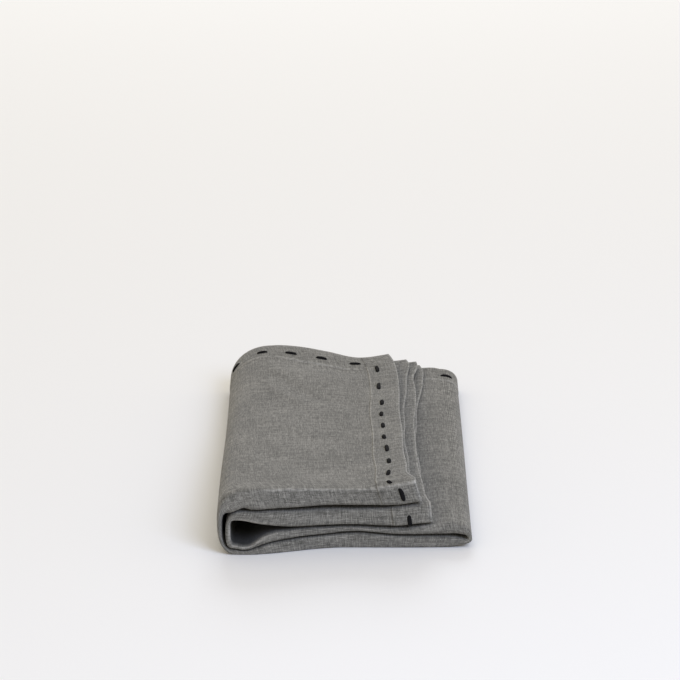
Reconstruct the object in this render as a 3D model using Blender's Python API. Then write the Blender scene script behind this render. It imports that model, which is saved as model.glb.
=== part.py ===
"""Folded linen table napkin, one solid.

A square napkin with a wide turned hem is folded in half, with the half fold
at the front (-Y) and the two open hems at the back. The doubled strip is then
folded back and forth across X into four levels that lie on each other:

  level 1, on top     from the first hem, at the right, to the left wall
  level 4, the lowest from the left wall to the right tip
  level 3             from the right tip back to the open loop at the left
  level 2             from the loop to the second hem, at the right

The work is in millimetres, X to the right, Y to the back, Z up, with the
origin under the middle of the folded napkin. The last step makes it metres.
"""
from collections import namedtuple

import bpy
import numpy as np

MM = 0.001

# Cloth, in millimetres
CLOTH = 1.0
HEM_CLOTH = 1.4
HEM_WIDTH = 17.0
HEM_SHARES = np.array([0.0, 0.5, 1.0])
SEAM_STEP = 2.0

# Place of the half fold at the front, and of the two hems at the back
FRONT_Y = -121.2
FRONT_BULGE = 10.0
BULGE_X = (0.0, -50.0)
OUTER_BACK_Y = 131.7
INNER_BACK_Y = 130.2
MIDDLE_SAG = 0.04

# Heights of the faces of the four levels above the table. A row for each
# section across X, first along the half fold, then along the hems behind.
HEIGHT_COLUMNS = ("x", "under_4", "over_4", "under_3", "over_3", "under_2", "over_2", "under_1", "over_1")
FRONT_HEIGHTS = (
    (-62.0, 0.0, 3.4, 4.0, 7.1, 18.0, 20.2, 21.9, 35.4),
    (-58.0, 0.0, 3.0, 3.6, 6.5, 18.2, 21.4, 22.6, 35.8),
    (-55.0, 0.0, 2.7, 3.2, 6.1, 18.3, 22.6, 23.9, 36.0),
    (-52.0, 0.0, 2.6, 3.2, 6.0, 18.1, 23.1, 24.9, 36.0),
    (-49.0, 0.0, 2.8, 3.4, 6.2, 17.3, 23.0, 23.8, 36.0),
    (-46.0, 0.0, 3.4, 4.0, 7.3, 16.5, 22.9, 23.6, 36.0),
    (-42.0, 0.0, 4.7, 5.3, 9.4, 15.5, 22.8, 23.5, 35.8),
    (-38.0, 0.0, 5.6, 6.2, 10.9, 14.7, 22.7, 23.6, 35.5),
    (-28.0, 0.0, 6.7, 7.3, 11.6, 12.9, 22.1, 23.1, 34.8),
    (-10.0, 0.0, 7.4, 8.0, 11.4, 12.1, 21.6, 23.0, 33.2),
    (8.0, 0.0, 8.3, 8.9, 11.8, 12.4, 21.6, 22.9, 33.2),
    (22.0, 0.0, 7.2, 7.8, 10.7, 11.5, 22.2, 23.2, 34.9),
    (30.0, 0.0, 6.6, 7.2, 10.7, 11.9, 22.8, 23.4, 36.4),
    (38.0, 0.1, 6.5, 7.1, 11.4, 13.0, 23.6, 24.9, 37.6),
    (46.0, 0.3, 6.4, 7.0, 13.2, 13.8, 24.0, 25.8, 37.6),
    (54.0, 1.0, 6.2, 6.9, 14.6, 15.2, 24.0, 25.8, 37.6),
    (58.0, 1.5, 5.6, 7.1, 13.9, 14.5, 24.0, 25.8, 37.6),
    (63.0, 2.0, 4.4, 6.4, 11.6, 12.2, 22.0, 24.0, 37.6),
)
BACK_HEIGHTS = (
    (-62.0, 0.0, 3.4, 4.0, 8.0, 15.4, 19.0, 19.6, 25.0),
    (-52.0, 0.0, 3.4, 4.0, 8.0, 15.8, 19.8, 20.6, 26.8),
    (-42.0, 0.0, 4.0, 4.6, 8.8, 15.8, 20.6, 21.4, 28.6),
    (-28.0, 0.0, 5.2, 5.8, 10.2, 13.8, 19.6, 20.2, 27.4),
    (-10.0, 0.0, 5.8, 6.4, 11.2, 11.8, 17.6, 18.2, 24.2),
    (8.0, 0.0, 6.0, 6.6, 11.4, 12.0, 15.8, 16.4, 20.8),
    (30.0, 0.0, 6.4, 7.0, 12.8, 13.4, 17.6, 18.4, 24.0),
    (44.0, 0.0, 6.4, 7.0, 14.6, 15.2, 19.4, 20.2, 25.8),
    (54.0, 0.2, 6.0, 6.8, 14.6, 15.2, 19.4, 20.2, 25.8),
    (63.0, 0.8, 4.6, 6.2, 11.0, 12.4, 16.6, 17.4, 23.0),
)

# Where the two hemmed ends of the strip lie across X, from the half fold at
# the front to the hems behind: an outer and an inner ply at each end.
END_COLUMNS = ("depth", "first_outer", "first_inner", "second_inner", "second_outer")
END_ROWS = (
    (0.00, 37.0, 40.2, 44.8, 45.8),
    (0.12, 33.2, 37.2, 43.4, 44.9),
    (0.32, 31.6, 34.6, 40.2, 41.6),
    (0.50, 31.0, 33.3, 38.8, 39.8),
    (0.70, 31.0, 34.4, 40.4, 41.4),
    (0.80, 31.0, 35.4, 40.2, 43.4),
    (0.90, 29.8, 37.0, 40.2, 45.4),
    (1.00, 26.4, 37.7, 44.2, 46.0),
)

# The three turns of the strip: the left wall, the right tip and the open loop,
# first at the half fold, then at the hems behind. Each says where the ply leaves
# its level, where it joins the next one, how far out it reaches, at what share
# of the way between the two, and how square it is before and after that.
Turn = namedtuple("Turn", "leaves_x joins_x reaches_x widest leaving_squareness joining_squareness")
OUTER_PLY_TURNS = (
    (Turn(-47.0, -55.0, -65.5, 0.5, 2.9, 2.9), Turn(-42.0, -58.0, -65.6, 0.8, 2.15, 2.2)),
    (Turn(60.0, 60.0, 65.9, 0.5, 2.6, 2.2), Turn(59.0, 56.0, 65.7, 0.36, 2.3, 2.2)),
    (Turn(-54.5, -55.5, -59.5, 0.5, 2.1, 3.0), Turn(-50.0, -50.0, -57.6, 0.4, 2.1, 2.3)),
)
INNER_PLY_TURNS = (
    (Turn(-57.5, -55.0, -63.7, 0.5, 2.8, 2.2), Turn(-50.0, -53.0, -63.5, 0.74, 2.05, 2.1)),
    (Turn(61.6, 61.6, 63.7, 0.5, 2.1, 2.1), Turn(61.6, 61.6, 63.4, 0.5, 2.1, 2.1)),
    (Turn(-54.5, -53.0, -61.2, 0.5, 2.5, 2.4), Turn(-50.0, -50.0, -59.9, 0.3, 2.4, 2.1)),
)
TURN_STEPS = (14, 10, 12)

# How square the half fold is on each ply, and how far in it begins at the
# most, from the first hem along the strip to the second.
HALF_FOLD_COLUMNS = ("along", "outer_squareness", "inner_squareness", "longest")
HALF_FOLD = (
    (0.0, 4.0, 3.4, 4.0),
    (70.0, 3.8, 3.2, 4.0),
    (95.0, 2.6, 2.6, 4.0),
    (120.0, 2.2, 2.2, 4.0),
    (145.0, 2.2, 2.2, 4.0),
    (170.0, 3.2, 3.0, 4.0),
    (240.0, 3.0, 2.6, 5.0),
    (262.0, 2.2, 2.2, 7.0),
    (300.0, 2.2, 2.6, 7.0),
    (320.0, 2.6, 2.6, 4.0),
    (370.0, 2.2, 2.2, 4.0),
    (400.0, 2.4, 2.4, 3.0),
    (430.0, 3.4, 3.4, 4.0),
    (510.0, 3.4, 3.4, 4.0),
)
APART_TO_REACH = 0.45

# Low swells that run through the whole stack: their share of the height, the
# way in X and in Y in which each turns by one radian, and where it starts. Then
# a sideways lean of the upper levels that changes from the front to the back.
Swell = namedtuple("Swell", "share turn_x turn_y start")
SWELLS = (Swell(0.016, 19.0, 47.0, 0.0), Swell(0.014, -31.0, 23.0, 1.0))
LEAN = 0.5
LEAN_TURN_Y = 38.0
LEAN_START = 0.6
LEAN_HEIGHT = 30.0

# Steps of the mesh
LEVEL_STEPS = 10
DEPTH_STEPS = 7
NOSE_STEPS = 10

LINEN_COLOUR = (0.205, 0.197, 0.176, 1.0)


def column(rows, names, name):
    """One named column of a table as an array."""
    return np.array([row[names.index(name)] for row in rows])


def smooth(at, places, values):
    """Cubic curve through the rows of a table, with slopes from the rows beside each one."""
    slopes = np.gradient(values, places)
    at = np.clip(at, places[0], places[-1])
    row = np.clip(np.searchsorted(places, at) - 1, 0, len(places) - 2)
    span = places[row + 1] - places[row]
    u = (at - places[row]) / span
    start = (1 + 2 * u) * (1 - u) ** 2 * values[row] + u * (1 - u) ** 2 * span * slopes[row]
    end = u * u * (3 - 2 * u) * values[row + 1] + u * u * (u - 1) * span * slopes[row + 1]
    return start + end


def soft_step(value, low, high):
    """0 at low and 1 at high, flat at both ends."""
    u = np.clip((value - low) / (high - low), 0.0, 1.0)
    return u * u * (3 - 2 * u)


def face_height(name, x, depth):
    """Height of a level's face: its row at the front blended into its row behind, less the sag."""
    front, back = [
        smooth(x, column(rows, HEIGHT_COLUMNS, "x"), column(rows, HEIGHT_COLUMNS, name))
        for rows in (FRONT_HEIGHTS, BACK_HEIGHTS)
    ]
    height = (front + (back - front) * depth) * (1 - MIDDLE_SAG * np.sin(np.pi * depth))
    return np.maximum(height, 0.0)


def ply_height(face, x, depth, thickness):
    """Height of the middle of a ply whose upper or lower side is the named face."""
    side = -0.5 if face.startswith("over") else 0.5
    return face_height(face, x, depth) + side * thickness


def level(from_x, to_x, face, depth, thickness):
    """A ply along one level, as x and z, with a step for each share of the way."""
    share = np.linspace(0.0, 1.0, LEVEL_STEPS + 1)[:, None]
    x = (from_x + (to_x - from_x) * share) * np.ones_like(depth)
    return x, ply_height(face, x, depth, thickness)


def hemmed_level(end_x, to_x, face, depth, thickness):
    """A ply along a level that ends in a hem: rows at the edge, in the hem and beside its seam."""
    hem_x = end_x - HEM_SHARES[:, None] * HEM_WIDTH
    hem_z = ply_height(face, hem_x, depth, HEM_CLOTH)
    x, z = level(end_x - HEM_WIDTH - SEAM_STEP, to_x, face, depth, thickness)
    return np.concatenate([hem_x, x]), np.concatenate([hem_z, z])


def squared(value, squareness):
    """Sine or cosine drawn out so that its half ellipse becomes squarer."""
    return np.sign(value) * np.abs(value) ** (2 / squareness)


def turn_points(start, end, turn, steps):
    """A half turn between two levels: two quarters of squared ellipses that meet where it is widest."""
    angle = np.linspace(0.0, np.pi, steps + 1)[1:-1, None]
    leaving = angle < np.pi / 2
    squareness = np.where(leaving, turn.leaving_squareness, turn.joining_squareness)
    quarter = np.where(leaving, turn.widest, 1 - turn.widest)
    along = turn.widest - quarter * squared(np.cos(angle), squareness)
    base = np.where(leaving, start[0], end[0])
    x = base + (turn.reaches_x - base) * squared(np.sin(angle), squareness)
    return x, start[1] + (end[1] - start[1]) * along


def ply(faces, turns, ends, depth, thickness):
    """One whole ply from the first hem to the second, as x and z with a column for each depth."""
    wall, tip, loop = [
        Turn(*[at_front + (behind - at_front) * depth for at_front, behind in zip(*both)])
        for both in turns
    ]
    first = hemmed_level(ends[0], wall.leaves_x, faces[0], depth, thickness)
    fourth = level(wall.joins_x, tip.leaves_x, faces[1], depth, thickness)
    third = level(tip.joins_x, loop.leaves_x, faces[2], depth, thickness)
    second = [rows[::-1] for rows in hemmed_level(ends[1], loop.joins_x, faces[3], depth, thickness)]
    pieces = [first]
    for turn, steps, following in zip((wall, tip, loop), TURN_STEPS, (fourth, third, second)):
        start = [rows[-1] for rows in pieces[-1]]
        end = [rows[0] for rows in following]
        pieces += [turn_points(start, end, turn, steps), following]
    return np.concatenate([x for x, z in pieces]), np.concatenate([z for x, z in pieces])


def across_the_cloth():
    """Columns from the outer ply's hem round the half fold in front to the inner ply's hem.

    Each has a depth from 0 in front to 1 behind, an angle round the fold, and
    a share of hem.
    """
    length = OUTER_BACK_Y - FRONT_Y
    inside = np.linspace((HEM_WIDTH + SEAM_STEP) / length, 1.0, DEPTH_STEPS + 1)
    depth = 1 - np.concatenate([HEM_SHARES * HEM_WIDTH / length, inside])
    in_hem = np.concatenate([np.ones(len(HEM_SHARES)), np.zeros(len(inside))])
    angle = np.linspace(0.0, np.pi, NOSE_STEPS + 1)[1:-1]
    none = np.zeros_like(angle)
    return (
        np.concatenate([depth, none, depth[::-1]]),
        np.concatenate([depth * 0, angle, depth * 0 + np.pi]),
        np.concatenate([in_hem, none, in_hem[::-1]]),
    )


def half_fold(outer, inner, depth, angle):
    """The two plies joined round the half fold: x and z, and the way in from its front line."""
    along = np.cumsum(np.hypot(*[np.diff(rows[:, 0], prepend=rows[0, 0]) for rows in outer]))
    places = column(HALF_FOLD, HALF_FOLD_COLUMNS, "along")
    outer_squareness, inner_squareness, longest = [
        smooth(along, places, column(HALF_FOLD, HALF_FOLD_COLUMNS, name))[:, None]
        for name in HALF_FOLD_COLUMNS[1:]
    ]
    squareness = np.where(angle < np.pi / 2, outer_squareness, inner_squareness)
    mix = (1 + squared(np.cos(angle), squareness)) / 2
    x, z = [on_outer * mix + on_inner * (1 - mix) for on_outer, on_inner in zip(outer, inner)]
    apart = np.hypot(outer[0] - inner[0], outer[1] - inner[1])
    reach = np.minimum(apart * APART_TO_REACH, longest)
    front = FRONT_Y - FRONT_BULGE * soft_step(x, *BULGE_X)
    back = OUTER_BACK_Y * mix + INNER_BACK_Y * (1 - mix)
    y = front + reach * (1 - squared(np.sin(angle), squareness)) + depth * (back - front - reach)
    return np.stack([x, y, z], axis=-1)


def cloth_surface():
    """Middle of the cloth as a grid of points, with the share of hem at each."""
    depth, angle, back_hem = across_the_cloth()
    places = column(END_ROWS, END_COLUMNS, "depth")
    ends = {name: smooth(depth, places, column(END_ROWS, END_COLUMNS, name)) for name in END_COLUMNS[1:]}
    thickness = CLOTH + (HEM_CLOTH - CLOTH) * back_hem
    outer = ply(("over_1", "under_4", "over_3", "under_2"), OUTER_PLY_TURNS,
                (ends["first_outer"], ends["second_outer"]), depth, thickness)
    inner = ply(("under_1", "over_4", "under_3", "over_2"), INNER_PLY_TURNS,
                (ends["first_inner"], ends["second_inner"]), depth, thickness)
    points = half_fold(outer, inner, depth, angle)
    end_hem = np.zeros((len(points), 1))
    end_hem[:len(HEM_SHARES)] = 1.0
    end_hem[-len(HEM_SHARES):] = 1.0
    return points, np.maximum(end_hem, back_hem)


def make_uneven(points, hem):
    """Low swells through the whole stack, in step on every ply, with the table side left flat."""
    x, y, z = points[..., 0], points[..., 1], points[..., 2]
    under = (CLOTH + (HEM_CLOTH - CLOTH) * hem) / 2
    swell = sum(wave.share * np.sin(x / wave.turn_x + y / wave.turn_y + wave.start) for wave in SWELLS)
    lean = LEAN * np.sin(y / LEAN_TURN_Y + LEAN_START) * np.clip((z - under) / LEAN_HEIGHT, 0.0, 1.0)
    return np.stack([x + lean, y, (z - under) * (1 + swell) + under], axis=-1)


def linen():
    material = bpy.data.materials.new("grey linen")
    material.use_nodes = True
    shader = material.node_tree.nodes["Principled BSDF"]
    shader.inputs["Base Color"].default_value = LINEN_COLOUR
    shader.inputs["Roughness"].default_value = 0.9
    shader.inputs["Metallic"].default_value = 0.0
    return material


def make_napkin():
    """The grid as a mesh, given its thickness by Solidify, thicker in the hems."""
    points, hem = cloth_surface()
    points = make_uneven(points, hem)
    rows, columns = hem.shape
    index = np.arange(rows * columns).reshape(rows, columns)
    quads = np.stack([index[:-1, :-1], index[:-1, 1:], index[1:, 1:], index[1:, :-1]], axis=-1)
    mesh = bpy.data.meshes.new("napkin")
    mesh.from_pydata((points.reshape(-1, 3) * MM).tolist(), [], quads.reshape(-1, 4).tolist())
    napkin = bpy.data.objects.new("napkin", mesh)
    bpy.context.collection.objects.link(napkin)
    group = napkin.vertex_groups.new(name="hem")
    group.add(index[hem > 0.5].tolist(), 1.0, "REPLACE")
    thickness = napkin.modifiers.new("thickness", "SOLIDIFY")
    thickness.thickness = HEM_CLOTH * MM
    thickness.offset = 0.0
    thickness.use_even_offset = True
    thickness.vertex_group = "hem"
    thickness.thickness_vertex_group = CLOTH / HEM_CLOTH
    mesh.materials.append(linen())
    mesh.shade_smooth()
    return napkin


for existing in list(bpy.data.objects):
    bpy.data.objects.remove(existing)

make_napkin()
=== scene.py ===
"""Looks of a folded linen napkin with a black running stitch along its hem.

Lengths of the cloth and its stitching are in millimetres, X to the right, Y to
the back, Z up from the table, and MM turns them into metres in the meshes and
materials. The table, the lights and the camera are placed in metres.
"""
import math
from collections import namedtuple

import bpy
import numpy as np
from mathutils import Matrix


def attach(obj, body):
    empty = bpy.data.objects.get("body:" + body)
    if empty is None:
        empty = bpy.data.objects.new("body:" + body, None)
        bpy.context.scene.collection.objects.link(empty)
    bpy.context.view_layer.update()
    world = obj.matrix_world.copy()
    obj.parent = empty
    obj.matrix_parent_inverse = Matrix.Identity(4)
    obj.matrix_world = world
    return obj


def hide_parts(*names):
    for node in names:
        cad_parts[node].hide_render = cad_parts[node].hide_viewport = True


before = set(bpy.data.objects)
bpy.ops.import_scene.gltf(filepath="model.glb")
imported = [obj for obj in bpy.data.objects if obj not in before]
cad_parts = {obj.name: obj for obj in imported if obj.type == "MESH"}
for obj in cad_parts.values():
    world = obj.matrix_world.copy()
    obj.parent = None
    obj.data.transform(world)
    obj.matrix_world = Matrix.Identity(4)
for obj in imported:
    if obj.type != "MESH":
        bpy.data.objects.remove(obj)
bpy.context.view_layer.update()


# Napkin cloth
# One square of plain-weave linen with a hem turned twice on all four sides. It
# is folded in half, the half fold in front, and the doubled strip back and
# forth into four levels, which hold by their own creases.
MM = 0.001

# Thickness of the cloth and its hem, widths of the hems at the strip's two ends and at
# the back, and how much wider the end hems look at the half fold, over which depths
CLOTH = 0.75
HEM_CLOTH = 1.25
HEM_WIDTH = 17.0
FAR_HEM_WIDTH = 20.0
SEAM_STEP = 0.9
HEM_SPREAD = 0.25
SPREAD_DEPTH = (-0.01, 0.06)

# Place of the half fold at the front, and of the two hems at the back
FRONT_Y = -121.2
FRONT_BULGE = 10.0
BULGE_X = (0.0, -50.0)
OUTER_BACK_Y = 131.7
INNER_BACK_Y = 130.2
MIDDLE_SAG = 0.04

# Heights of the faces of the four levels above the table. A row for each
# section across X, first along the half fold, then along the hems behind.
HEIGHT_COLUMNS = ("x", "under_4", "over_4", "under_3", "over_3", "under_2", "over_2", "under_1", "over_1")
FRONT_HEIGHTS = (
    (-62.0, 0.0, 3.6, 4.2, 6.2, 18.0, 20.6, 21.9, 35.4),
    (-58.0, 0.0, 3.2, 3.8, 5.8, 18.3, 21.9, 22.6, 35.8),
    (-55.0, 0.0, 2.2, 2.8, 5.2, 18.4, 23.1, 23.9, 36.0),
    (-52.0, 0.0, 2.0, 2.6, 4.4, 18.1, 23.4, 25.0, 36.0),
    (-49.0, 0.0, 2.4, 3.0, 5.0, 17.3, 23.1, 23.8, 36.0),
    (-46.0, 0.0, 3.4, 4.0, 6.9, 16.5, 22.9, 23.6, 36.0),
    (-42.0, 0.0, 4.7, 5.3, 9.5, 15.5, 22.8, 23.5, 35.8),
    (-38.0, 0.0, 5.6, 6.2, 11.0, 14.7, 22.7, 23.6, 35.5),
    (-28.0, 0.0, 6.5, 7.3, 11.7, 13.1, 21.8, 23.2, 34.8),
    (-10.0, 0.0, 7.1, 8.0, 11.4, 12.4, 21.2, 23.1, 33.2),
    (8.0, 0.0, 8.2, 9.1, 11.5, 12.5, 21.2, 23.0, 33.2),
    (22.0, 0.0, 6.9, 7.8, 10.7, 11.8, 21.8, 23.2, 34.9),
    (30.0, 0.0, 6.3, 7.2, 10.7, 12.0, 22.4, 23.6, 36.4),
    (38.0, 0.1, 6.2, 7.1, 11.4, 13.0, 23.3, 24.9, 37.6),
    (46.0, 0.3, 6.1, 7.0, 13.2, 13.8, 23.8, 25.8, 37.6),
    (54.0, 0.8, 5.9, 6.9, 14.6, 15.2, 24.0, 25.8, 37.6),
    (58.0, 1.2, 5.5, 7.1, 13.9, 14.5, 24.0, 25.8, 37.6),
    (63.0, 2.6, 4.6, 6.4, 11.6, 12.2, 22.0, 24.0, 37.6),
)
BACK_HEIGHTS = (
    (-62.0, 0.0, 3.4, 4.0, 8.0, 15.4, 19.0, 19.6, 25.0),
    (-52.0, 0.0, 3.4, 4.0, 8.0, 15.8, 19.8, 20.6, 26.0),
    (-42.0, 0.0, 4.0, 4.6, 8.8, 15.8, 20.6, 21.4, 27.6),
    (-28.0, 0.0, 5.2, 5.8, 10.2, 13.8, 19.6, 20.2, 27.1),
    (-10.0, 0.0, 5.8, 6.4, 11.2, 11.8, 17.6, 18.2, 24.2),
    (8.0, 0.0, 6.0, 6.6, 11.4, 12.0, 15.8, 16.4, 20.8),
    (30.0, 0.0, 6.4, 7.0, 12.8, 13.4, 17.6, 18.4, 24.0),
    (44.0, 0.0, 6.4, 7.0, 14.6, 15.2, 19.4, 20.2, 25.8),
    (54.0, 0.2, 6.0, 6.8, 14.6, 15.2, 19.4, 20.2, 25.8),
    (63.0, 0.8, 4.6, 6.2, 11.0, 12.4, 16.6, 17.4, 23.0),
)

# Where the two hemmed ends of the strip lie across X, from the half fold at
# the front to the hems behind: an outer and an inner ply at each end.
END_COLUMNS = ("depth", "first_outer", "first_inner", "second_inner", "second_outer")
END_ROWS = (
    (0.00, 37.0, 40.2, 44.8, 45.8),
    (0.04, 33.5, 38.0, 42.8, 43.8),
    (0.12, 33.0, 36.4, 41.6, 43.0),
    (0.32, 31.6, 34.0, 39.4, 40.8),
    (0.50, 30.6, 33.0, 38.4, 39.4),
    (0.70, 30.4, 34.2, 40.2, 41.2),
    (0.80, 31.0, 35.4, 40.2, 43.4),
    (0.90, 29.8, 37.0, 40.2, 45.4),
    (0.97, 27.4, 37.6, 43.2, 46.2),
    (1.00, 26.0, 36.2, 42.6, 44.6),
)

# The three turns of the strip: the left wall, the right tip and the open loop,
# first at the half fold, then at the hems behind. Each says where the ply leaves
# its level, where it joins the next one, how far out it reaches, at what share
# of the way between the two, and how square it is before and after that.
Turn = namedtuple("Turn", "leaves_x joins_x reaches_x widest leaving_squareness joining_squareness")
OUTER_PLY_TURNS = (
    (Turn(-47.0, -55.0, -65.5, 0.5, 2.9, 2.5), Turn(-42.0, -58.0, -65.6, 0.8, 2.15, 2.2)),
    (Turn(60.0, 60.0, 65.9, 0.26, 2.0, 2.1), Turn(59.0, 56.0, 65.7, 0.36, 2.3, 2.2)),
    (Turn(-56.0, -56.0, -59.4, 0.5, 3.0, 5.0), Turn(-50.0, -50.0, -57.6, 0.4, 2.1, 2.3)),
)
INNER_PLY_TURNS = (
    (Turn(-59.5, -57.0, -63.7, 0.5, 3.6, 2.6), Turn(-50.0, -53.0, -63.5, 0.74, 2.05, 2.1)),
    (Turn(61.8, 61.8, 64.5, 0.3, 2.1, 2.1), Turn(61.6, 61.6, 63.4, 0.5, 2.1, 2.1)),
    (Turn(-56.5, -53.5, -61.1, 0.5, 3.6, 2.4), Turn(-50.0, -50.0, -59.9, 0.3, 2.4, 2.1)),
)

# How square the half fold is on each ply, and how far in it begins at the
# most, from the first hem along the strip to the second.
HALF_FOLD_COLUMNS = ("along", "outer_squareness", "inner_squareness", "longest")
HALF_FOLD = (
    (0.0, 7.0, 5.0, 4.0),
    (70.0, 6.0, 4.0, 4.0),
    (95.0, 3.0, 3.0, 4.0),
    (130.0, 4.0, 3.0, 4.0),
    (170.0, 5.0, 4.5, 4.0),
    (240.0, 3.5, 3.0, 5.0),
    (262.0, 2.2, 2.2, 7.0),
    (300.0, 2.2, 3.0, 7.0),
    (330.0, 4.5, 4.5, 4.0),
    (370.0, 4.5, 4.0, 4.0),
    (400.0, 3.5, 3.5, 3.0),
    (430.0, 5.0, 5.0, 4.0),
    (510.0, 5.0, 6.0, 4.0),
)
APART_TO_REACH = 0.45

# How far the hemmed edges wander sideways, and how fast each does
EDGE_WOBBLE = 0.35
EDGE_TURNS = {"first_outer": 21.0, "first_inner": 27.0, "second_inner": 18.0, "second_outer": 24.0}

# Low swells that run through the whole stack: their share of the height, the
# way in X and in Y in which each turns by one radian, and where it starts. Then
# a sideways lean of the upper levels that changes from the front to the back.
Swell = namedtuple("Swell", "share turn_x turn_y start")
SWELLS = (Swell(0.016, 19.0, 47.0, 0.0), Swell(0.014, -31.0, 23.0, 1.0))
LEAN = 0.5
LEAN_TURN_Y = 38.0
LEAN_START = 0.6
LEAN_HEIGHT = 30.0

# Steps of the grid, how closely the rows of a turn crowd at its ends and middle, and
# the rows and columns at which the wall, the loop and the half fold begin
HEM_SHARES = np.linspace(0.0, 1.0, 9)
LEVEL_STEPS = 34
DEPTH_STEPS = 58
NOSE_STEPS = 28
TURN_STEPS = (34, 24, 34)
ANGLE_CROWDING = 0.75
HEM_ROWS = len(HEM_SHARES)
OUTER_COLUMNS = HEM_ROWS + DEPTH_STEPS + 1
WALL_ROW = HEM_ROWS + LEVEL_STEPS + 1
LOOP_ROW = HEM_ROWS + 3 * (LEVEL_STEPS + 1) + TURN_STEPS[0] - 1 + TURN_STEPS[1] - 1


def column(rows, names, name):
    """One named column of a table as an array."""
    return np.array([row[names.index(name)] for row in rows])


def smooth(at, places, values):
    """Cubic curve through the rows of a table, with slopes from the rows beside each one."""
    slopes = np.gradient(values, places)
    at = np.clip(at, places[0], places[-1])
    row = np.clip(np.searchsorted(places, at) - 1, 0, len(places) - 2)
    span = places[row + 1] - places[row]
    u = (at - places[row]) / span
    start = (1 + 2 * u) * (1 - u) ** 2 * values[row] + u * (1 - u) ** 2 * span * slopes[row]
    end = u * u * (3 - 2 * u) * values[row + 1] + u * u * (u - 1) * span * slopes[row + 1]
    return start + end


def soft_step(value, low, high):
    """0 at low and 1 at high, flat at both ends."""
    u = np.clip((value - low) / (high - low), 0.0, 1.0)
    return u * u * (3 - 2 * u)


def face_height(name, x, depth):
    """Height of a level's face: its row at the front blended into its row behind, less the sag."""
    front, back = [
        smooth(x, column(rows, HEIGHT_COLUMNS, "x"), column(rows, HEIGHT_COLUMNS, name))
        for rows in (FRONT_HEIGHTS, BACK_HEIGHTS)
    ]
    return np.maximum((front + (back - front) * depth) * (1 - MIDDLE_SAG * np.sin(np.pi * depth)), 0.0)


def ply_height(face, x, depth, thickness):
    """Height of the middle of a ply. Only on the table does a thin ply lie lower than its hem."""
    if face == "under_4":
        side = thickness
    elif face.startswith("over"):
        side = -HEM_CLOTH
    else:
        side = HEM_CLOTH
    return face_height(face, x, depth) + side / 2


def level(from_x, to_x, face, depth, thickness):
    """A ply along one level, as x and z, in even shares of the way."""
    share = np.linspace(0.0, 1.0, LEVEL_STEPS + 1)[:, None]
    x = (from_x + (to_x - from_x) * share) * np.ones_like(depth)
    return x, ply_height(face, x, depth, thickness)


def hemmed_level(end_x, to_x, face, depth, thickness):
    """A ply along a level that ends in a hem, drawn wider towards the half fold."""
    width = HEM_WIDTH * (1 + HEM_SPREAD * (1 - soft_step(depth, *SPREAD_DEPTH)))
    hem_x = end_x - HEM_SHARES[:, None] * width
    hem_z = ply_height(face, hem_x, depth, HEM_CLOTH)
    x, z = level(end_x - width - SEAM_STEP, to_x, face, depth, thickness)
    return np.concatenate([hem_x, x]), np.concatenate([hem_z, z])


def squared(value, squareness):
    """Sine or cosine drawn out so that its half ellipse becomes squarer."""
    return np.sign(value) * np.abs(value) ** (2 / squareness)


def even_angles(steps):
    """Angles inside a half turn, closer together at its two ends and in its middle."""
    share = np.linspace(0.0, 1.0, steps + 1)[1:-1]
    return np.pi * (share - ANGLE_CROWDING * np.sin(4 * np.pi * share) / (4 * np.pi))


def turn_points(start, end, turn, steps):
    """A half turn between two levels: two quarters of squared ellipses that meet where it is widest."""
    angle = even_angles(steps)[:, None]
    leaving = angle < np.pi / 2
    squareness = np.where(leaving, turn.leaving_squareness, turn.joining_squareness)
    quarter = np.where(leaving, turn.widest, 1 - turn.widest)
    along = turn.widest - quarter * squared(np.cos(angle), squareness)
    base = np.where(leaving, start[0], end[0])
    x = base + (turn.reaches_x - base) * squared(np.sin(angle), squareness)
    return x, start[1] + (end[1] - start[1]) * along


def ply(faces, turns, ends, depth, thickness):
    """One whole ply from the first hem to the second, as x and z with a column for each depth."""
    wall, tip, loop = [
        Turn(*[at_front + (behind - at_front) * depth for at_front, behind in zip(*both)])
        for both in turns
    ]
    first = hemmed_level(ends[0], wall.leaves_x, faces[0], depth, thickness)
    fourth = level(wall.joins_x, tip.leaves_x, faces[1], depth, thickness)
    third = level(tip.joins_x, loop.leaves_x, faces[2], depth, thickness)
    second = [rows[::-1] for rows in hemmed_level(ends[1], loop.joins_x, faces[3], depth, thickness)]
    pieces = [first]
    for turn, steps, following in zip((wall, tip, loop), TURN_STEPS, (fourth, third, second)):
        start = [rows[-1] for rows in pieces[-1]]
        end = [rows[0] for rows in following]
        pieces += [turn_points(start, end, turn, steps), following]
    return np.concatenate([x for x, z in pieces]), np.concatenate([z for x, z in pieces])


def across_the_cloth():
    """Columns from the outer ply's hem round the half fold in front to the inner ply's hem:
    depth from 0 in front to 1 behind, angle round the fold and share of hem."""
    length = OUTER_BACK_Y - FRONT_Y
    inside = np.linspace((FAR_HEM_WIDTH + SEAM_STEP) / length, 1.0, DEPTH_STEPS + 1)
    depth = 1 - np.concatenate([HEM_SHARES * FAR_HEM_WIDTH / length, inside])
    in_hem = np.concatenate([np.ones(HEM_ROWS), np.zeros(len(inside))])
    angle = even_angles(NOSE_STEPS)
    none = np.zeros_like(angle)
    return (
        np.concatenate([depth, none, depth[::-1]]),
        np.concatenate([depth * 0, angle, depth * 0 + np.pi]),
        np.concatenate([in_hem, none, in_hem[::-1]]),
    )


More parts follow.
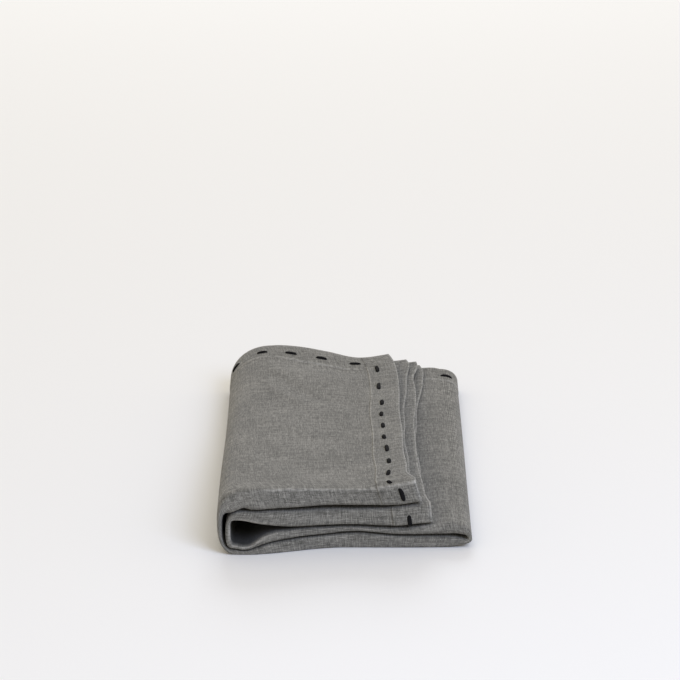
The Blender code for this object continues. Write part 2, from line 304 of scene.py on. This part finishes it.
def cloth_surface():
    """Middle of the cloth as a grid of points, with the share of hem at each."""
    depth, angle, back_hem = across_the_cloth()
    places = column(END_ROWS, END_COLUMNS, "depth")
    ends = {
        name: smooth(depth, places, column(END_ROWS, END_COLUMNS, name))
        + EDGE_WOBBLE * np.sin(depth * EDGE_TURNS[name]) * soft_step(depth, 0.0, 0.1)
        for name in END_COLUMNS[1:]
    }
    thickness = CLOTH + (HEM_CLOTH - CLOTH) * back_hem
    outer = ply(("over_1", "under_4", "over_3", "under_2"), OUTER_PLY_TURNS,
                (ends["first_outer"], ends["second_outer"]), depth, thickness)
    inner = ply(("under_1", "over_4", "under_3", "over_2"), INNER_PLY_TURNS,
                (ends["first_inner"], ends["second_inner"]), depth, thickness)

    front_row = np.stack([outer[0][:, 0], outer[1][:, 0]])
    along = np.concatenate([[0.0], np.cumsum(np.hypot(*np.diff(front_row)))])
    along_rows = column(HALF_FOLD, HALF_FOLD_COLUMNS, "along")
    outer_squareness, inner_squareness, longest = [
        smooth(along, along_rows, column(HALF_FOLD, HALF_FOLD_COLUMNS, name))
        for name in HALF_FOLD_COLUMNS[1:]
    ]
    squareness = np.where(angle < np.pi / 2, outer_squareness[:, None], inner_squareness[:, None])
    mix = (1 + squared(np.cos(angle), squareness)) / 2
    x = outer[0] * mix + inner[0] * (1 - mix)
    z = outer[1] * mix + inner[1] * (1 - mix)
    apart = np.hypot(outer[0] - inner[0], outer[1] - inner[1])
    reach = np.minimum(apart * APART_TO_REACH, longest[:, None])
    front = FRONT_Y - FRONT_BULGE * soft_step(x, *BULGE_X)
    back = OUTER_BACK_Y * mix + INNER_BACK_Y * (1 - mix)
    y = front + reach * (1 - squared(np.sin(angle), squareness)) + depth * (back - front - reach)

    end_hem = np.zeros((len(x), 1))
    end_hem[:HEM_ROWS] = 1.0
    end_hem[-HEM_ROWS:] = 1.0
    return np.stack([x, y, z], axis=-1), np.maximum(end_hem, back_hem)


def make_uneven(points, hem):
    """Low swells through the whole stack, in step on every ply, with the table side left flat."""
    x, y, z = points[..., 0], points[..., 1], points[..., 2]
    under = (CLOTH + (HEM_CLOTH - CLOTH) * hem) / 2
    swell = sum(wave.share * np.sin(x / wave.turn_x + y / wave.turn_y + wave.start) for wave in SWELLS)
    lean = LEAN * np.sin(y / LEAN_TURN_Y + LEAN_START) * np.clip((z - under) / LEAN_HEIGHT, 0.0, 1.0)
    return np.stack([x + lean, y, (z - under) * (1 + swell) + under], axis=-1)


def grid_normals(points):
    """Unit normals of a grid from the differences along its two directions, facing outwards."""
    normals = np.cross(np.gradient(points, axis=0), np.gradient(points, axis=1))
    return normals / np.linalg.norm(normals, axis=-1, keepdims=True)


def flat_places(points):
    """How far each row and each column of the grid lies along the cloth laid flat."""
    along = np.linalg.norm(np.diff(points, axis=0), axis=-1).mean(axis=1)
    across = np.linalg.norm(np.diff(points, axis=1), axis=-1).mean(axis=0)
    return np.concatenate([[0.0], np.cumsum(along)]), np.concatenate([[0.0], np.cumsum(across)])


# Soft ridges and troughs on the top, each along a line from one place to another,
# and how far behind the front they reach their full height
TOP_FADE = 25.0
TOP_FOLDS = (
    {"start": (-22.0, 107.0), "end": (-4.0, 107.0), "half_width": 14.0, "height": -2.6},
    {"start": (-48.0, 67.0), "end": (-26.0, 31.0), "half_width": 4.0, "height": 0.9},
    {"start": (-40.0, 78.0), "end": (-16.0, 40.0), "half_width": 5.0, "height": -0.8},
    {"start": (-56.0, 96.0), "end": (-34.0, 84.0), "half_width": 6.0, "height": 0.8},
    {"start": (-56.0, 10.0), "end": (-18.0, -26.0), "half_width": 9.0, "height": 0.6},
    {"start": (-30.0, 52.0), "end": (8.0, 30.0), "half_width": 10.0, "height": -0.6},
    {"start": (-12.0, -44.0), "end": (10.0, -84.0), "half_width": 8.0, "height": 0.5},
    {"start": (-48.0, -66.0), "end": (-20.0, -96.0), "half_width": 9.0, "height": -0.7},
    {"start": (16.0, -30.0), "end": (28.0, -52.0), "half_width": 5.0, "height": 0.45},
    {"start": (14.0, 74.0), "end": (26.0, 58.0), "half_width": 5.0, "height": -0.45},
)


def fold_top(points):
    """Raises and lowers the upper ply of the top level along its soft folds."""
    top = points[:WALL_ROW, :OUTER_COLUMNS]
    fade = soft_step(top[..., 1], FRONT_Y, FRONT_Y + TOP_FADE)
    for fold in TOP_FOLDS:
        start, end = np.array(fold["start"]), np.array(fold["end"])
        way = end - start
        share = np.clip(((top[..., :2] - start) @ way) / (way @ way), 0.0, 1.0)
        off = np.linalg.norm(top[..., :2] - start - share[..., None] * way, axis=-1)
        top[..., 2] += fold["height"] * np.exp(-((off / fold["half_width"]) ** 2)) * fade
    return points


cloth_points, cloth_hem = cloth_surface()
cloth_points = fold_top(make_uneven(cloth_points, cloth_hem))
cloth_normals = grid_normals(cloth_points)
cloth_s, cloth_t = flat_places(cloth_points)


def sheet_mesh(name, points, normals, thickness, uv_maps):
    """Closed mesh of a sheet: the grid moved half its thickness to each side, joined round the rim."""
    rows, columns = thickness.shape
    half = normals * thickness[..., None] / 2
    places = np.concatenate([(points + half).reshape(-1, 3), (points - half).reshape(-1, 3)]) * MM
    index = np.arange(rows * columns).reshape(rows, columns)
    corners = (index[:-1, :-1], index[1:, :-1], index[1:, 1:], index[:-1, 1:])
    outside = np.stack(corners, axis=-1).reshape(-1, 4)
    inside = outside[:, ::-1] + rows * columns
    rim = np.concatenate([index[0, :-1], index[:-1, -1], index[-1, :0:-1], index[:0:-1, 0]])
    ahead = np.roll(rim, -1)
    border = np.stack([rim, ahead, ahead + rows * columns, rim + rows * columns], axis=-1)
    quads = np.concatenate([outside, inside, border])
    mesh = bpy.data.meshes.new(name)
    mesh.vertices.add(len(places))
    mesh.vertices.foreach_set("co", places.ravel())
    mesh.loops.add(quads.size)
    mesh.loops.foreach_set("vertex_index", quads.ravel())
    mesh.polygons.add(len(quads))
    mesh.polygons.foreach_set("loop_start", np.arange(0, quads.size, 4))
    mesh.update(calc_edges=True)
    mesh.validate()
    for map_name, uv in uv_maps.items():
        layer = mesh.uv_layers.new(name=map_name)
        corners = np.tile(uv.reshape(-1, 2), (2, 1))[quads.ravel()] * MM
        layer.data.foreach_set("uv", corners.ravel())
    mesh.shade_smooth()
    return mesh


# Rows before the left wall from which the yarns begin to even out
SQUARE_BEFORE = 4


def yarn_places(points, flat):
    """Where each point lies by its yarns. Along the strip it is the length of its own column on
    the first level, so that the yarns lie square to the folds there, and evens out to the mean
    over the left wall. Across it is the length of its own row from the half fold."""
    columns = np.cumsum(np.linalg.norm(np.diff(points, axis=0, prepend=points[:1]), axis=-1), axis=0)
    rows = np.cumsum(np.linalg.norm(np.diff(points, axis=1, prepend=points[:, :1]), axis=-1), axis=1)
    rows -= rows[:, points.shape[1] // 2][:, None]
    square = soft_step(np.arange(len(points)), WALL_ROW + TURN_STEPS[0], WALL_ROW - SQUARE_BEFORE)[:, None]
    return np.stack([columns * square + flat[..., 0] * (1 - square), rows], axis=-1)


cloth_thickness = CLOTH + (HEM_CLOTH - CLOTH) * cloth_hem
cloth_flat = np.stack(np.meshgrid(cloth_s, cloth_t, indexing="ij"), axis=-1)
cloth_maps = {"flat cloth": cloth_flat, "yarns": yarn_places(cloth_points, cloth_flat)}
cloth_mesh = sheet_mesh("linen_napkin", cloth_points, cloth_normals, cloth_thickness, cloth_maps)
napkin = bpy.data.objects.new("linen_napkin", cloth_mesh)
bpy.context.collection.objects.link(napkin)

# The open loop: how far behind its front and over which X painted shade darkens its lining, and
# the middle column of the painted highlight along its rim, its full and whole half width, and its fade in
# rows
LOOP_SHADE_DEPTH = 4.5
LOOP_SHADE_X = (-14.0, -30.0)
RIM_COLUMN = OUTER_COLUMNS + 4
RIM_HALF_WIDTHS = (8, 3)
RIM_FADE = 12


def painted_loop_shade(points):
    """Painted shade: 1 on the face that lines the open loop, from just behind its edge, and 0 elsewhere.
    """
    outer = np.arange(points.shape[1]) < OUTER_COLUMNS
    lining = (np.arange(points.shape[0]) > LOOP_ROW - LEVEL_STEPS // 2)[:, None] & outer
    local_front = FRONT_Y - FRONT_BULGE * soft_step(points[..., 0], *BULGE_X)
    depth = soft_step(points[..., 1] - local_front, 0.0, LOOP_SHADE_DEPTH)
    return lining * depth * soft_step(points[..., 0], *LOOP_SHADE_X)


def painted_rim_highlight(points):
    """Painted highlight: 1 along the edge of the open loop, fading out along the levels beside it."""
    row, column_number = np.arange(points.shape[0]), np.arange(points.shape[1])
    last = LOOP_ROW + TURN_STEPS[2]
    beside = soft_step(row, LOOP_ROW - RIM_FADE, LOOP_ROW) * soft_step(row, last + RIM_FADE, last)
    return beside[:, None] * soft_step(np.abs(column_number - RIM_COLUMN), *RIM_HALF_WIDTHS)


# Painted shade inside the open loop and painted highlight along its rim, kept as point attributes
for name, shares in (("inside the loop", painted_loop_shade), ("painted rim highlight", painted_rim_highlight)):
    shade = napkin.data.attributes.new(name, "FLOAT", "POINT")
    share = shares(cloth_points).ravel()
    shade.data.foreach_set("value", np.concatenate([share, share * 0]))


class Value:
    """One socket of a material. Sums on it add Math nodes, and node() adds any other node."""

    def __init__(self, material, socket=None):
        self.material, self.socket = material, socket

    def node(self, kind, settings=None, **inputs):
        """Adds a node, sets its settings first and then its sockets: name or in0, in1 by number."""
        made = self.material.node_tree.nodes.new("ShaderNode" + kind)
        for name, setting in (settings or {}).items():
            setattr(made, name, setting)
        for name, given in inputs.items():
            numbered = name[:2] == "in" and name[2:].isdigit()
            target = made.inputs[int(name[2:]) if numbered else name.replace("_", " ")]
            if isinstance(given, Value):
                self.material.node_tree.links.new(given.socket, target)
            else:
                target.default_value = given
        return made

    def out(self, made, number=0):
        """An output of a node as a Value."""
        return Value(self.material, made.outputs[number])

    def place(self, name):
        """Places on the named UV map."""
        return self.out(self.node("UVMap", {"uv_map": name}))

    def share(self, name):
        """The named attribute of the piece, from 0 to 1."""
        return self.out(self.node("Attribute", {"attribute_name": name}), 2)

    def parts(self):
        """The first two parts of a vector."""
        made = self.node("SeparateXYZ", Vector=self)
        return self.out(made, 0), self.out(made, 1)

    def math(self, operation, *values):
        """A Math node on values and numbers."""
        inputs = {f"in{k}": value for k, value in enumerate(values)}
        return self.out(self.node("Math", {"operation": operation}, **inputs))

    def __add__(self, other):
        return self.math("ADD", self, other)

    __radd__ = __add__

    def __mul__(self, other):
        return self.math("MULTIPLY", self, other)

    __rmul__ = __mul__

    def __sub__(self, other):
        return self.math("SUBTRACT", self, other)

    def __rsub__(self, other):
        return self.math("SUBTRACT", other, self)

    def __truediv__(self, other):
        return self.math("DIVIDE", self, other)

    def __pow__(self, other):
        return self.math("POWER", self, other)

    def __gt__(self, other):
        return self.math("GREATER_THAN", self, other)

    def sine(self):
        return self.math("SINE", self)

    def least(self, other):
        return self.math("MINIMUM", self, other)

    def size(self):
        return self.math("ABSOLUTE", self)

    def between(self, low, high, floor=0.0, top=1.0):
        """Smooth step from floor to top as the value goes from low to high."""
        made = self.node("MapRange", {"interpolation_type": "SMOOTHSTEP"}, Value=self,
                         From_Min=low, From_Max=high, To_Min=floor, To_Max=top)
        return self.out(made)

    def mix(self, dark, light):
        """Colour from dark, where the value is 0, to light, where it is 1."""
        made = self.node("Mix", {"data_type": "RGBA"}, in0=self, in6=dark, in7=light)
        return self.out(made, 2)


def new_material(name):
    """A new material as a Value, and its Principled BSDF."""
    material = bpy.data.materials.new(name)
    material.use_nodes = True
    return Value(material), material.node_tree.nodes["Principled BSDF"]


YARN = 0.62 * MM
LINEN_DARK = (0.058, 0.057, 0.051, 1.0)
LINEN_MIDDLE = (0.158, 0.154, 0.139, 1.0)
LINEN_PALE = (0.410, 0.400, 0.366, 1.0)
# Pale colour of wear along the edges, and of painted highlights along the seams, the front crease and the
# loop's rim
PALE_WEAR_AND_HIGHLIGHT = (0.450, 0.440, 0.405, 1.0)
# Near black for the painted shade inside the open loop
UNLIT = (0.012, 0.012, 0.011, 1.0)
# Half widths of the pale lines and the mitre line: where each is full and where it has faded.
# The pale lines are painted highlight along the seams and the crease, and wear with painted highlight
# along the edges
EDGE_WEAR_AND_HIGHLIGHT = (0.3 * MM, 1.1 * MM)
END_SEAM_HIGHLIGHT = (0.2 * MM, 0.8 * MM)
FAR_SEAM_HIGHLIGHT = (0.5 * MM, 1.6 * MM)
CREASE_HIGHLIGHT = (0.25 * MM, 0.8 * MM)
MITRE_LINE = (0.1 * MM, 0.5 * MM)
HEM_STEP = 0.6 * MM
# The half fold in front: its place on the flat cloth and its half width, full and faded, and
# the crease along the upper edge of the first level's front, with where it fades along the strip
FRONT_T = cloth_t[-1] / 2 * MM
ROUND_FOLD = (4.0 * MM, 7.0 * MM)
CREASE_ANGLE = 0.22 * np.pi
NOSE_T = cloth_t[OUTER_COLUMNS:OUTER_COLUMNS + NOSE_STEPS - 1]
CREASE_T = np.interp(CREASE_ANGLE, even_angles(NOSE_STEPS), NOSE_T) * MM
CREASE_ENDS = (70.0 * MM, 82.0 * MM)


def streaks(yarns, along_u, along_v, seed):
    """Noise drawn out along one thread, with its sizes in millimetres."""
    scale = (1 / (along_u * MM), 1 / (along_v * MM), 1.0)
    scaled = yarns.out(yarns.node("VectorMath", {"operation": "MULTIPLY"}, in0=yarns, in1=scale))
    moved = yarns.out(yarns.node("VectorMath", {"operation": "ADD"}, in0=scaled, in1=(0.0, 0.0, seed)))
    return yarns.out(yarns.node("TexNoise", {"noise_dimensions": "3D"},
                                Vector=moved, Scale=1.0, Detail=2.0, Roughness=0.6))


def plain_weave(yarn_u, yarn_v):
    """Where the warp lies on top, and the height of rounded yarns over and under each other:
    the size of one sine across the thread on top, times the root of the other along it."""
    across_u, across_v = (yarn_u * (math.pi / YARN)).sine(), (yarn_v * (math.pi / YARN)).sine()
    warp_over = across_u * across_v > 0.0
    round_u, round_v = across_u.size(), across_v.size()
    return warp_over, warp_over * round_u * round_v ** 0.5 + (1 - warp_over) * round_v * round_u ** 0.5


def wear_and_highlight_lines(u, v, from_ends, from_sides, off_the_fold):
    """Pale lines: wear and a painted highlight along its edges, and a painted highlight along the seams of
    its hems and the front crease.
    """
    edge = from_ends.least(from_sides).between(*EDGE_WEAR_AND_HIGHLIGHT, 1.0, 0.0)
    end_seam = (from_ends - HEM_WIDTH * MM).size().between(*END_SEAM_HIGHLIGHT, 0.9, 0.0)
    far_seam = (from_sides - FAR_HEM_WIDTH * MM).size().between(*FAR_SEAM_HIGHLIGHT, 0.9, 0.0)
    past_end, past_side = from_ends > HEM_WIDTH * MM, from_sides > FAR_HEM_WIDTH * MM
    seams = (end_seam * past_side + far_seam * past_end) * off_the_fold
    crease = (v - CREASE_T).size().between(*CREASE_HIGHLIGHT, 0.8, 0.0) * u.between(*CREASE_ENDS, 1.0, 0.0)
    return edge + seams + crease


def linen_material():
    """Plain weave in the cloth's own lengths, with slubs along both threads, pale flecks, pale lines
    of wear and painted highlight, a fine mitre at each corner, puckered hems, painted shade that
    darkens the lining of the open loop, and a painted highlight along its rim."""
    at, shader = new_material("washed_grey_linen")
    u, v = at.place("flat cloth").parts()
    from_ends, from_sides = u.least(cloth_s[-1] * MM - u), v.least(cloth_t[-1] * MM - v)
    to_seam = (from_ends / (HEM_WIDTH * MM)).least(from_sides / (FAR_HEM_WIDTH * MM))
    hem = to_seam.between(1.0, 1.0 + HEM_STEP / (HEM_WIDTH * MM), 1.0, 0.0)
    end_hem = from_ends.between(HEM_WIDTH * MM, HEM_WIDTH * MM + HEM_STEP, 1.0, 0.0)
    far_hem = from_sides.between(FAR_HEM_WIDTH * MM, FAR_HEM_WIDTH * MM + HEM_STEP, 1.0, 0.0)
    off_the_fold = (v - FRONT_T).size().between(*ROUND_FOLD)
    round_fold = 1 - off_the_fold

    yarns = at.place("yarns")
    warp_over, weave = plain_weave(*yarns.parts())
    warp_slub, weft_slub = streaks(yarns, 0.6, 5.0, 3.0), streaks(yarns, 4.5, 0.6, 11.0)
    thread = warp_over * warp_slub + (1 - warp_over) * weft_slub
    long_slubs = streaks(yarns, 0.9, 28.0, 71.0) + streaks(yarns, 28.0, 1.8, 83.0)
    tone = thread * 0.25 + (warp_slub + weft_slub) * 0.2 + long_slubs * 0.175
    cloudy = streaks(yarns, 38.0, 38.0, 23.0)
    tone = tone + (cloudy - 0.5) * 0.12 + (weave - 0.55) * 0.16
    fleck = streaks(yarns, 0.9, 1.3, 31.0).between(0.64, 0.75)
    colour = tone.between(0.37, 0.50).mix(LINEN_DARK, LINEN_MIDDLE)
    colour = (tone.between(0.50, 0.62) * 0.6 + fleck * (0.4 + round_fold * 0.5)).mix(colour, LINEN_PALE)
    gap = (weave + thread * 0.8).between(0.5, 0.9, 0.2, 0.0) * round_fold
    colour = gap.mix(colour, LINEN_DARK)

    patchy_threads = streaks(yarns, 2.4, 2.4, 47.0).between(0.36, 0.62, 0.25, 1.0)
    wear_and_highlight = wear_and_highlight_lines(u, v, from_ends, from_sides, off_the_fold) * patchy_threads
    # Painted highlight along the seams and front crease, and wear with painted highlight along the edges
    colour = (wear_and_highlight * 0.6).mix(colour, PALE_WEAR_AND_HIGHLIGHT)
    mitre = (from_ends - from_sides).size().between(*MITRE_LINE, 0.7, 0.0) * hem
    colour = mitre.mix(colour, LINEN_DARK)
    # Painted highlight along the rim of the open loop
    colour = (at.share("painted rim highlight") * patchy_threads * 0.45).mix(colour, PALE_WEAR_AND_HIGHLIGHT)
    # Painted shade darkening the lining of the open loop
    colour = (at.share("inside the loop") * 0.93).mix(colour, UNLIT)

    puckers = streaks(yarns, 15.0, 4.5, 59.0) * end_hem + streaks(yarns, 4.5, 15.0, 67.0) * far_hem
    height = weave * 0.12 + thread * 0.2 + puckers * 5.0 + hem * 0.5
    bump = at.node("Bump", Strength=0.7, Distance=0.35 * MM, Height=height)
    tree = at.material.node_tree
    tree.links.new(colour.socket, shader.inputs["Base Color"])
    tree.links.new(bump.outputs[0], shader.inputs["Normal"])
    shader.inputs["Roughness"].default_value = 0.92
    shader.inputs["Specular IOR Level"].default_value = 0.25
    shader.inputs["Sheen Weight"].default_value = 0.12
    shader.inputs["Sheen Roughness"].default_value = 0.5
    return at.material


napkin.data.materials.append(linen_material())
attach(napkin, "root")
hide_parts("napkin")


# Hem stitching
# One thick black cotton thread sewn by hand as a running stitch along all four
# hems, about 10 mm in from the edge. It goes up and down through the cloth, so
# each face shows a stitch where the other shows none.
STITCH_LENGTH = 8.4
STITCH_PITCH = 21.0
STITCH_INSET = 10.0
FAR_INSET = 12.5
THREAD_HALF_WIDTH = 1.15
THREAD_HALF_HEIGHT = 0.8
STATIONS = 7
SIDES = 6
# A stitch's ends as a share of its full size, how far its middle rises from the cloth and
# its ends sink into it as shares of its half height, and its least height above the table
STITCH_END = 0.15
RISE = 1.2
SINK = 0.9
LEAST_HEIGHT = 0.02
# Points on a sewing line and its distance from the cloth's edges, the widest gap that gets
# no further stitch, and the shortest stitch on the reverse
LINE_POINTS = 900
LINE_MARGIN = 0.5
WIDEST_GAP = 1.8 * STITCH_PITCH
SHORTEST_BEHIND = 2.0
# The stitches seen in the photo, with X, Y, Z and length: those of the first hem with one on
# its front, those of the far hem, and the one on the front of the second hem
RIGHT_STITCHES = (
    (19.3, 104.7, 22.2, 15.0), (19.6, 68.8, 24.0, 15.0), (21.2, 33.1, 26.2, 11.0),
    (20.5, 11.1, 27.1, 9.0), (21.2, -10.7, 27.9, 9.5), (21.3, -32.5, 28.8, 9.5),
    (22.9, -54.2, 30.1, 13.0), (23.6, -78.8, 32.0, 10.0), (23.0, -100.8, 33.4, 10.5),
    (22.8, -117.8, 35.5, 5.0), (29.1, -121.0, 29.0, 9.0),
)
FAR_STITCHES = (
    (6.5, 119.7, 20.8, 8.2), (-12.8, 119.7, 25.0, 7.8), (-30.8, 119.7, 27.9, 8.2),
    (-47.9, 119.7, 28.0, 7.4), (-61.9, 119.7, 18.5, 8.0), (60.0, 119.7, 14.0, 8.0),
)
SECOND_STITCHES = ((35.3, -121.0, 15.5, 8.0),)


def grid_place(grid, s, t):
    """Values of a grid at places on the flat cloth, blended from the four points round each."""
    row = np.clip(np.searchsorted(cloth_s, s) - 1, 0, len(cloth_s) - 2)
    spot = np.clip(np.searchsorted(cloth_t, t) - 1, 0, len(cloth_t) - 2)
    a = ((s - cloth_s[row]) / (cloth_s[row + 1] - cloth_s[row]))[:, None]
    b = ((t - cloth_t[spot]) / (cloth_t[spot + 1] - cloth_t[spot]))[:, None]
    near = grid[row, spot] * (1 - a) + grid[row + 1, spot] * a
    far = grid[row, spot + 1] * (1 - a) + grid[row + 1, spot + 1] * a
    return near * (1 - b) + far * b


def sewing_line(s, t):
    """A line on the cloth: its points, its normals and the way along it at each."""
    points, normals = grid_place(cloth_points, s, t), grid_place(cloth_normals, s, t)
    way = np.concatenate([[0.0], np.cumsum(np.linalg.norm(np.diff(points, axis=0), axis=1))])
    return points, normals, way


def all_stitches(line, known):
    """Centre and length of every stitch on a line: the known ones, and even ones where none is known."""
    points, _, way = line
    places = np.array(known).reshape(-1, 4)
    far = np.linalg.norm(points - places[:, None, :3], axis=-1)
    stitches = sorted(zip(way[np.argmin(far, axis=1)], places[:, 3])) or [(way[-1] / 2, STITCH_LENGTH)]
    ends = [0.0] + [centre for centre, _ in stitches] + [way[-1]]
    filled = list(stitches)
    for low, high in zip(ends[:-1], ends[1:]):
        if high - low > WIDEST_GAP:
            count = int(round((high - low) / STITCH_PITCH))
            filled += [(centre, STITCH_LENGTH) for centre in np.linspace(low, high, count + 1)[1:-1]]
    return np.array(sorted(filled))


def stitch_tubes(line, centres, lengths, face):
    """Flat spindles along a line, one for each centre, that dip into the cloth at their ends
    and are pressed flat where the napkin lies on them."""
    points, normals, way = line
    share = np.linspace(-1.0, 1.0, STATIONS)
    at = centres[:, None] + share * lengths[:, None] / 2
    middle = np.stack([np.interp(at, way, points[:, k]) for k in range(3)], axis=-1)
    normal = np.stack([np.interp(at, way, normals[:, k]) for k in range(3)], axis=-1) * face
    normal /= np.linalg.norm(normal, axis=-1, keepdims=True)
    ahead = np.gradient(middle, axis=1)
    ahead /= np.linalg.norm(ahead, axis=-1, keepdims=True)
    sideways = np.cross(ahead, normal)
    spindle = np.maximum(1 - np.abs(share) ** 3, 0.0) ** 0.5
    full = spindle[:, None] * (1 - STITCH_END) + STITCH_END
    rise = HEM_CLOTH / 2 + THREAD_HALF_HEIGHT * (full[:, 0] * RISE - SINK)
    angle = np.arange(SIDES) * 2 * np.pi / SIDES
    across = (THREAD_HALF_WIDTH * full * np.cos(angle))[..., None]
    up = (rise[:, None] + THREAD_HALF_HEIGHT * full * np.sin(angle))[..., None]
    tubes = middle[:, :, None] + sideways[:, :, None] * across + normal[:, :, None] * up
    tubes[..., 2] = np.maximum(tubes[..., 2], LEAST_HEIGHT)
    return tubes


def tube_mesh(name, tubes):
    """All the tubes as one mesh with closed ends and a UV along and round each thread."""
    count = len(tubes)
    index = np.arange(count * STATIONS * SIDES).reshape(count, STATIONS, SIDES)
    beside = np.roll(index, -1, axis=2)
    quads = np.stack([index[:, :-1], beside[:, :-1], beside[:, 1:], index[:, 1:]], axis=-1).reshape(-1, 4)
    caps = np.concatenate([index[:, 0, ::-1], index[:, -1]])
    mesh = bpy.data.meshes.new(name)
    mesh.from_pydata((tubes.reshape(-1, 3) * MM).tolist(), [], quads.tolist() + caps.tolist())
    station = np.repeat(np.arange(STATIONS) / (STATIONS - 1) * STITCH_LENGTH, SIDES)
    turn = np.tile(np.arange(SIDES) / SIDES, STATIONS)
    uv = np.tile(np.stack([station, turn], axis=-1), (count, 1))
    corners = np.zeros(len(mesh.loops), dtype=int)
    mesh.loops.foreach_get("vertex_index", corners)
    layer = mesh.uv_layers.new(name="thread")
    layer.data.foreach_set("uv", uv[corners].ravel())
    mesh.shade_smooth()
    return mesh


def right_line():
    """Sewing line along the first hem, through the places where its stitches are seen."""
    seen_x, seen_y, seen_z, _ = np.array(RIGHT_STITCHES).T
    edge = cloth_points[0, :len(cloth_t) // 2]
    far = np.hypot(edge[:, 1] - seen_y[:, None], edge[:, 2] - seen_z[:, None])
    beside = np.argmin(far, axis=1)
    rows = slice(0, HEM_ROWS + 1)
    s = [np.interp(-x, -cloth_points[rows, spot, 0], cloth_s[rows]) for x, spot in zip(seen_x, beside)]
    t = np.linspace(LINE_MARGIN, cloth_t[-1] - LINE_MARGIN, LINE_POINTS)
    return sewing_line(np.interp(t, cloth_t[beside], s), t)


def straight_line(s, t):
    """Sewing line between two places on the flat cloth."""
    share = np.linspace(0.0, 1.0, LINE_POINTS)
    return sewing_line(s[0] + (s[1] - s[0]) * share, t[0] + (t[1] - t[0]) * share)


whole_s = (LINE_MARGIN, cloth_s[-1] - LINE_MARGIN)
whole_t = (LINE_MARGIN, cloth_t[-1] - LINE_MARGIN)
sewn = (
    (right_line(), RIGHT_STITCHES),
    (straight_line((cloth_s[-1] - STITCH_INSET,) * 2, whole_t), SECOND_STITCHES),
    (straight_line(whole_s, (FAR_INSET,) * 2), FAR_STITCHES),
    (straight_line(whole_s, (cloth_t[-1] - STITCH_INSET,) * 2), ()),
)
tubes = []
for line, known in sewn:
    centres, lengths = all_stitches(line, known).T
    behind = (centres[:-1] + centres[1:]) / 2
    between = np.minimum(np.diff(centres) - (lengths[:-1] + lengths[1:]) / 2, STITCH_LENGTH)
    long_enough = between > SHORTEST_BEHIND
    tubes.append(stitch_tubes(line, centres, lengths, 1.0))
    tubes.append(stitch_tubes(line, behind[long_enough], between[long_enough], -1.0))
stitching = bpy.data.objects.new("hem_stitching", tube_mesh("hem_stitching", np.concatenate(tubes)))
bpy.context.collection.objects.link(stitching)

THREAD_BLACK = (0.0035, 0.0035, 0.004, 1.0)
THREAD_GREY = (0.012, 0.012, 0.013, 1.0)


def thread_material():
    """Matt black cotton of a few strands twisted together, paler where the light catches a strand."""
    at, shader = new_material("black_cotton_thread")
    along, around = at.place("thread").parts()
    strand = ((along * 2.2 + around * 2.0) * math.pi).sine().size()
    fibre = at.out(at.node("TexNoise", Scale=3.0, Vector=along * 9.0 + around * 31.0))
    colour = (strand * 0.6 + fibre * 0.4).between(0.35, 0.95).mix(THREAD_BLACK, THREAD_GREY)
    bump = at.node("Bump", Strength=0.8, Distance=0.2 * MM, Height=strand)
    tree = at.material.node_tree
    tree.links.new(colour.socket, shader.inputs["Base Color"])
    tree.links.new(bump.outputs[0], shader.inputs["Normal"])
    shader.inputs["Roughness"].default_value = 0.9
    shader.inputs["Specular IOR Level"].default_value = 0.12
    return at.material


stitching.data.materials.append(thread_material())
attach(stitching, "root")


# Table top, light and camera
# A plain pale table, a soft light from the front right, a broad one from behind,
# a weak warm fill, and the camera at the angle of the photograph.
TABLE_HALF = 6.0
TABLE_CORNERS = [(x * TABLE_HALF, y * TABLE_HALF, 0.0) for x, y in ((-1, -1), (1, -1), (1, 1), (-1, 1))]
table = bpy.data.meshes.new("table_top")
table.from_pydata(TABLE_CORNERS, [], [(0, 1, 2, 3)])
table_top = bpy.data.objects.new("table_top", table)
bpy.context.collection.objects.link(table_top)
paper, paper_shader = new_material("pale_paper")
paper_shader.inputs["Base Color"].default_value = (0.872, 0.876, 0.880, 1.0)
paper_shader.inputs["Roughness"].default_value = 0.9
table.materials.append(paper.material)

world = bpy.data.worlds.new("studio")
world.use_nodes = True
fill = world.node_tree.nodes["Background"]
fill.inputs["Color"].default_value = (1.0, 0.905, 0.74, 1.0)
fill.inputs["Strength"].default_value = 0.67
bpy.context.scene.world = world


def soft_light(name, place, aim, size, power, colour):
    """A square area light at a place, turned to its aim: tilted from straight down by the angle
    between the way back to it and the vertical."""
    light = bpy.data.lights.new(name, "AREA")
    light.size, light.energy, light.color = size, power, colour
    lamp = bpy.data.objects.new(name, light)
    lamp.location = place
    away = np.array(place) - np.array(aim)
    tilt = math.atan2(math.hypot(away[0], away[1]), away[2])
    lamp.rotation_euler = (tilt, 0.0, math.atan2(away[0], -away[1]))
    bpy.context.collection.objects.link(lamp)


soft_light("front_light", (0.9, -1.4, 1.3), (0.0, 0.0, 0.0), 1.0, 17.7, (0.84, 1.0, 1.40))
soft_light("back_light", (0.0, 3.0, 1.6), (0.0, 0.0, 0.0), 1.6, 37.0, (0.94, 1.0, 1.11))

CAMERA_PITCH = math.radians(18.0)
camera_data = bpy.data.cameras.new("camera")
camera_data.sensor_width = 36.0
camera_data.lens = 195.03
camera = bpy.data.objects.new("camera", camera_data)
camera.location = (-0.0024, -1.9086, 0.6944)
camera.rotation_euler = (math.pi / 2 - CAMERA_PITCH, 0.0, 0.0)
bpy.context.collection.objects.link(camera)
bpy.context.scene.camera = camera
bpy.context.scene.view_settings.view_transform = "Standard"
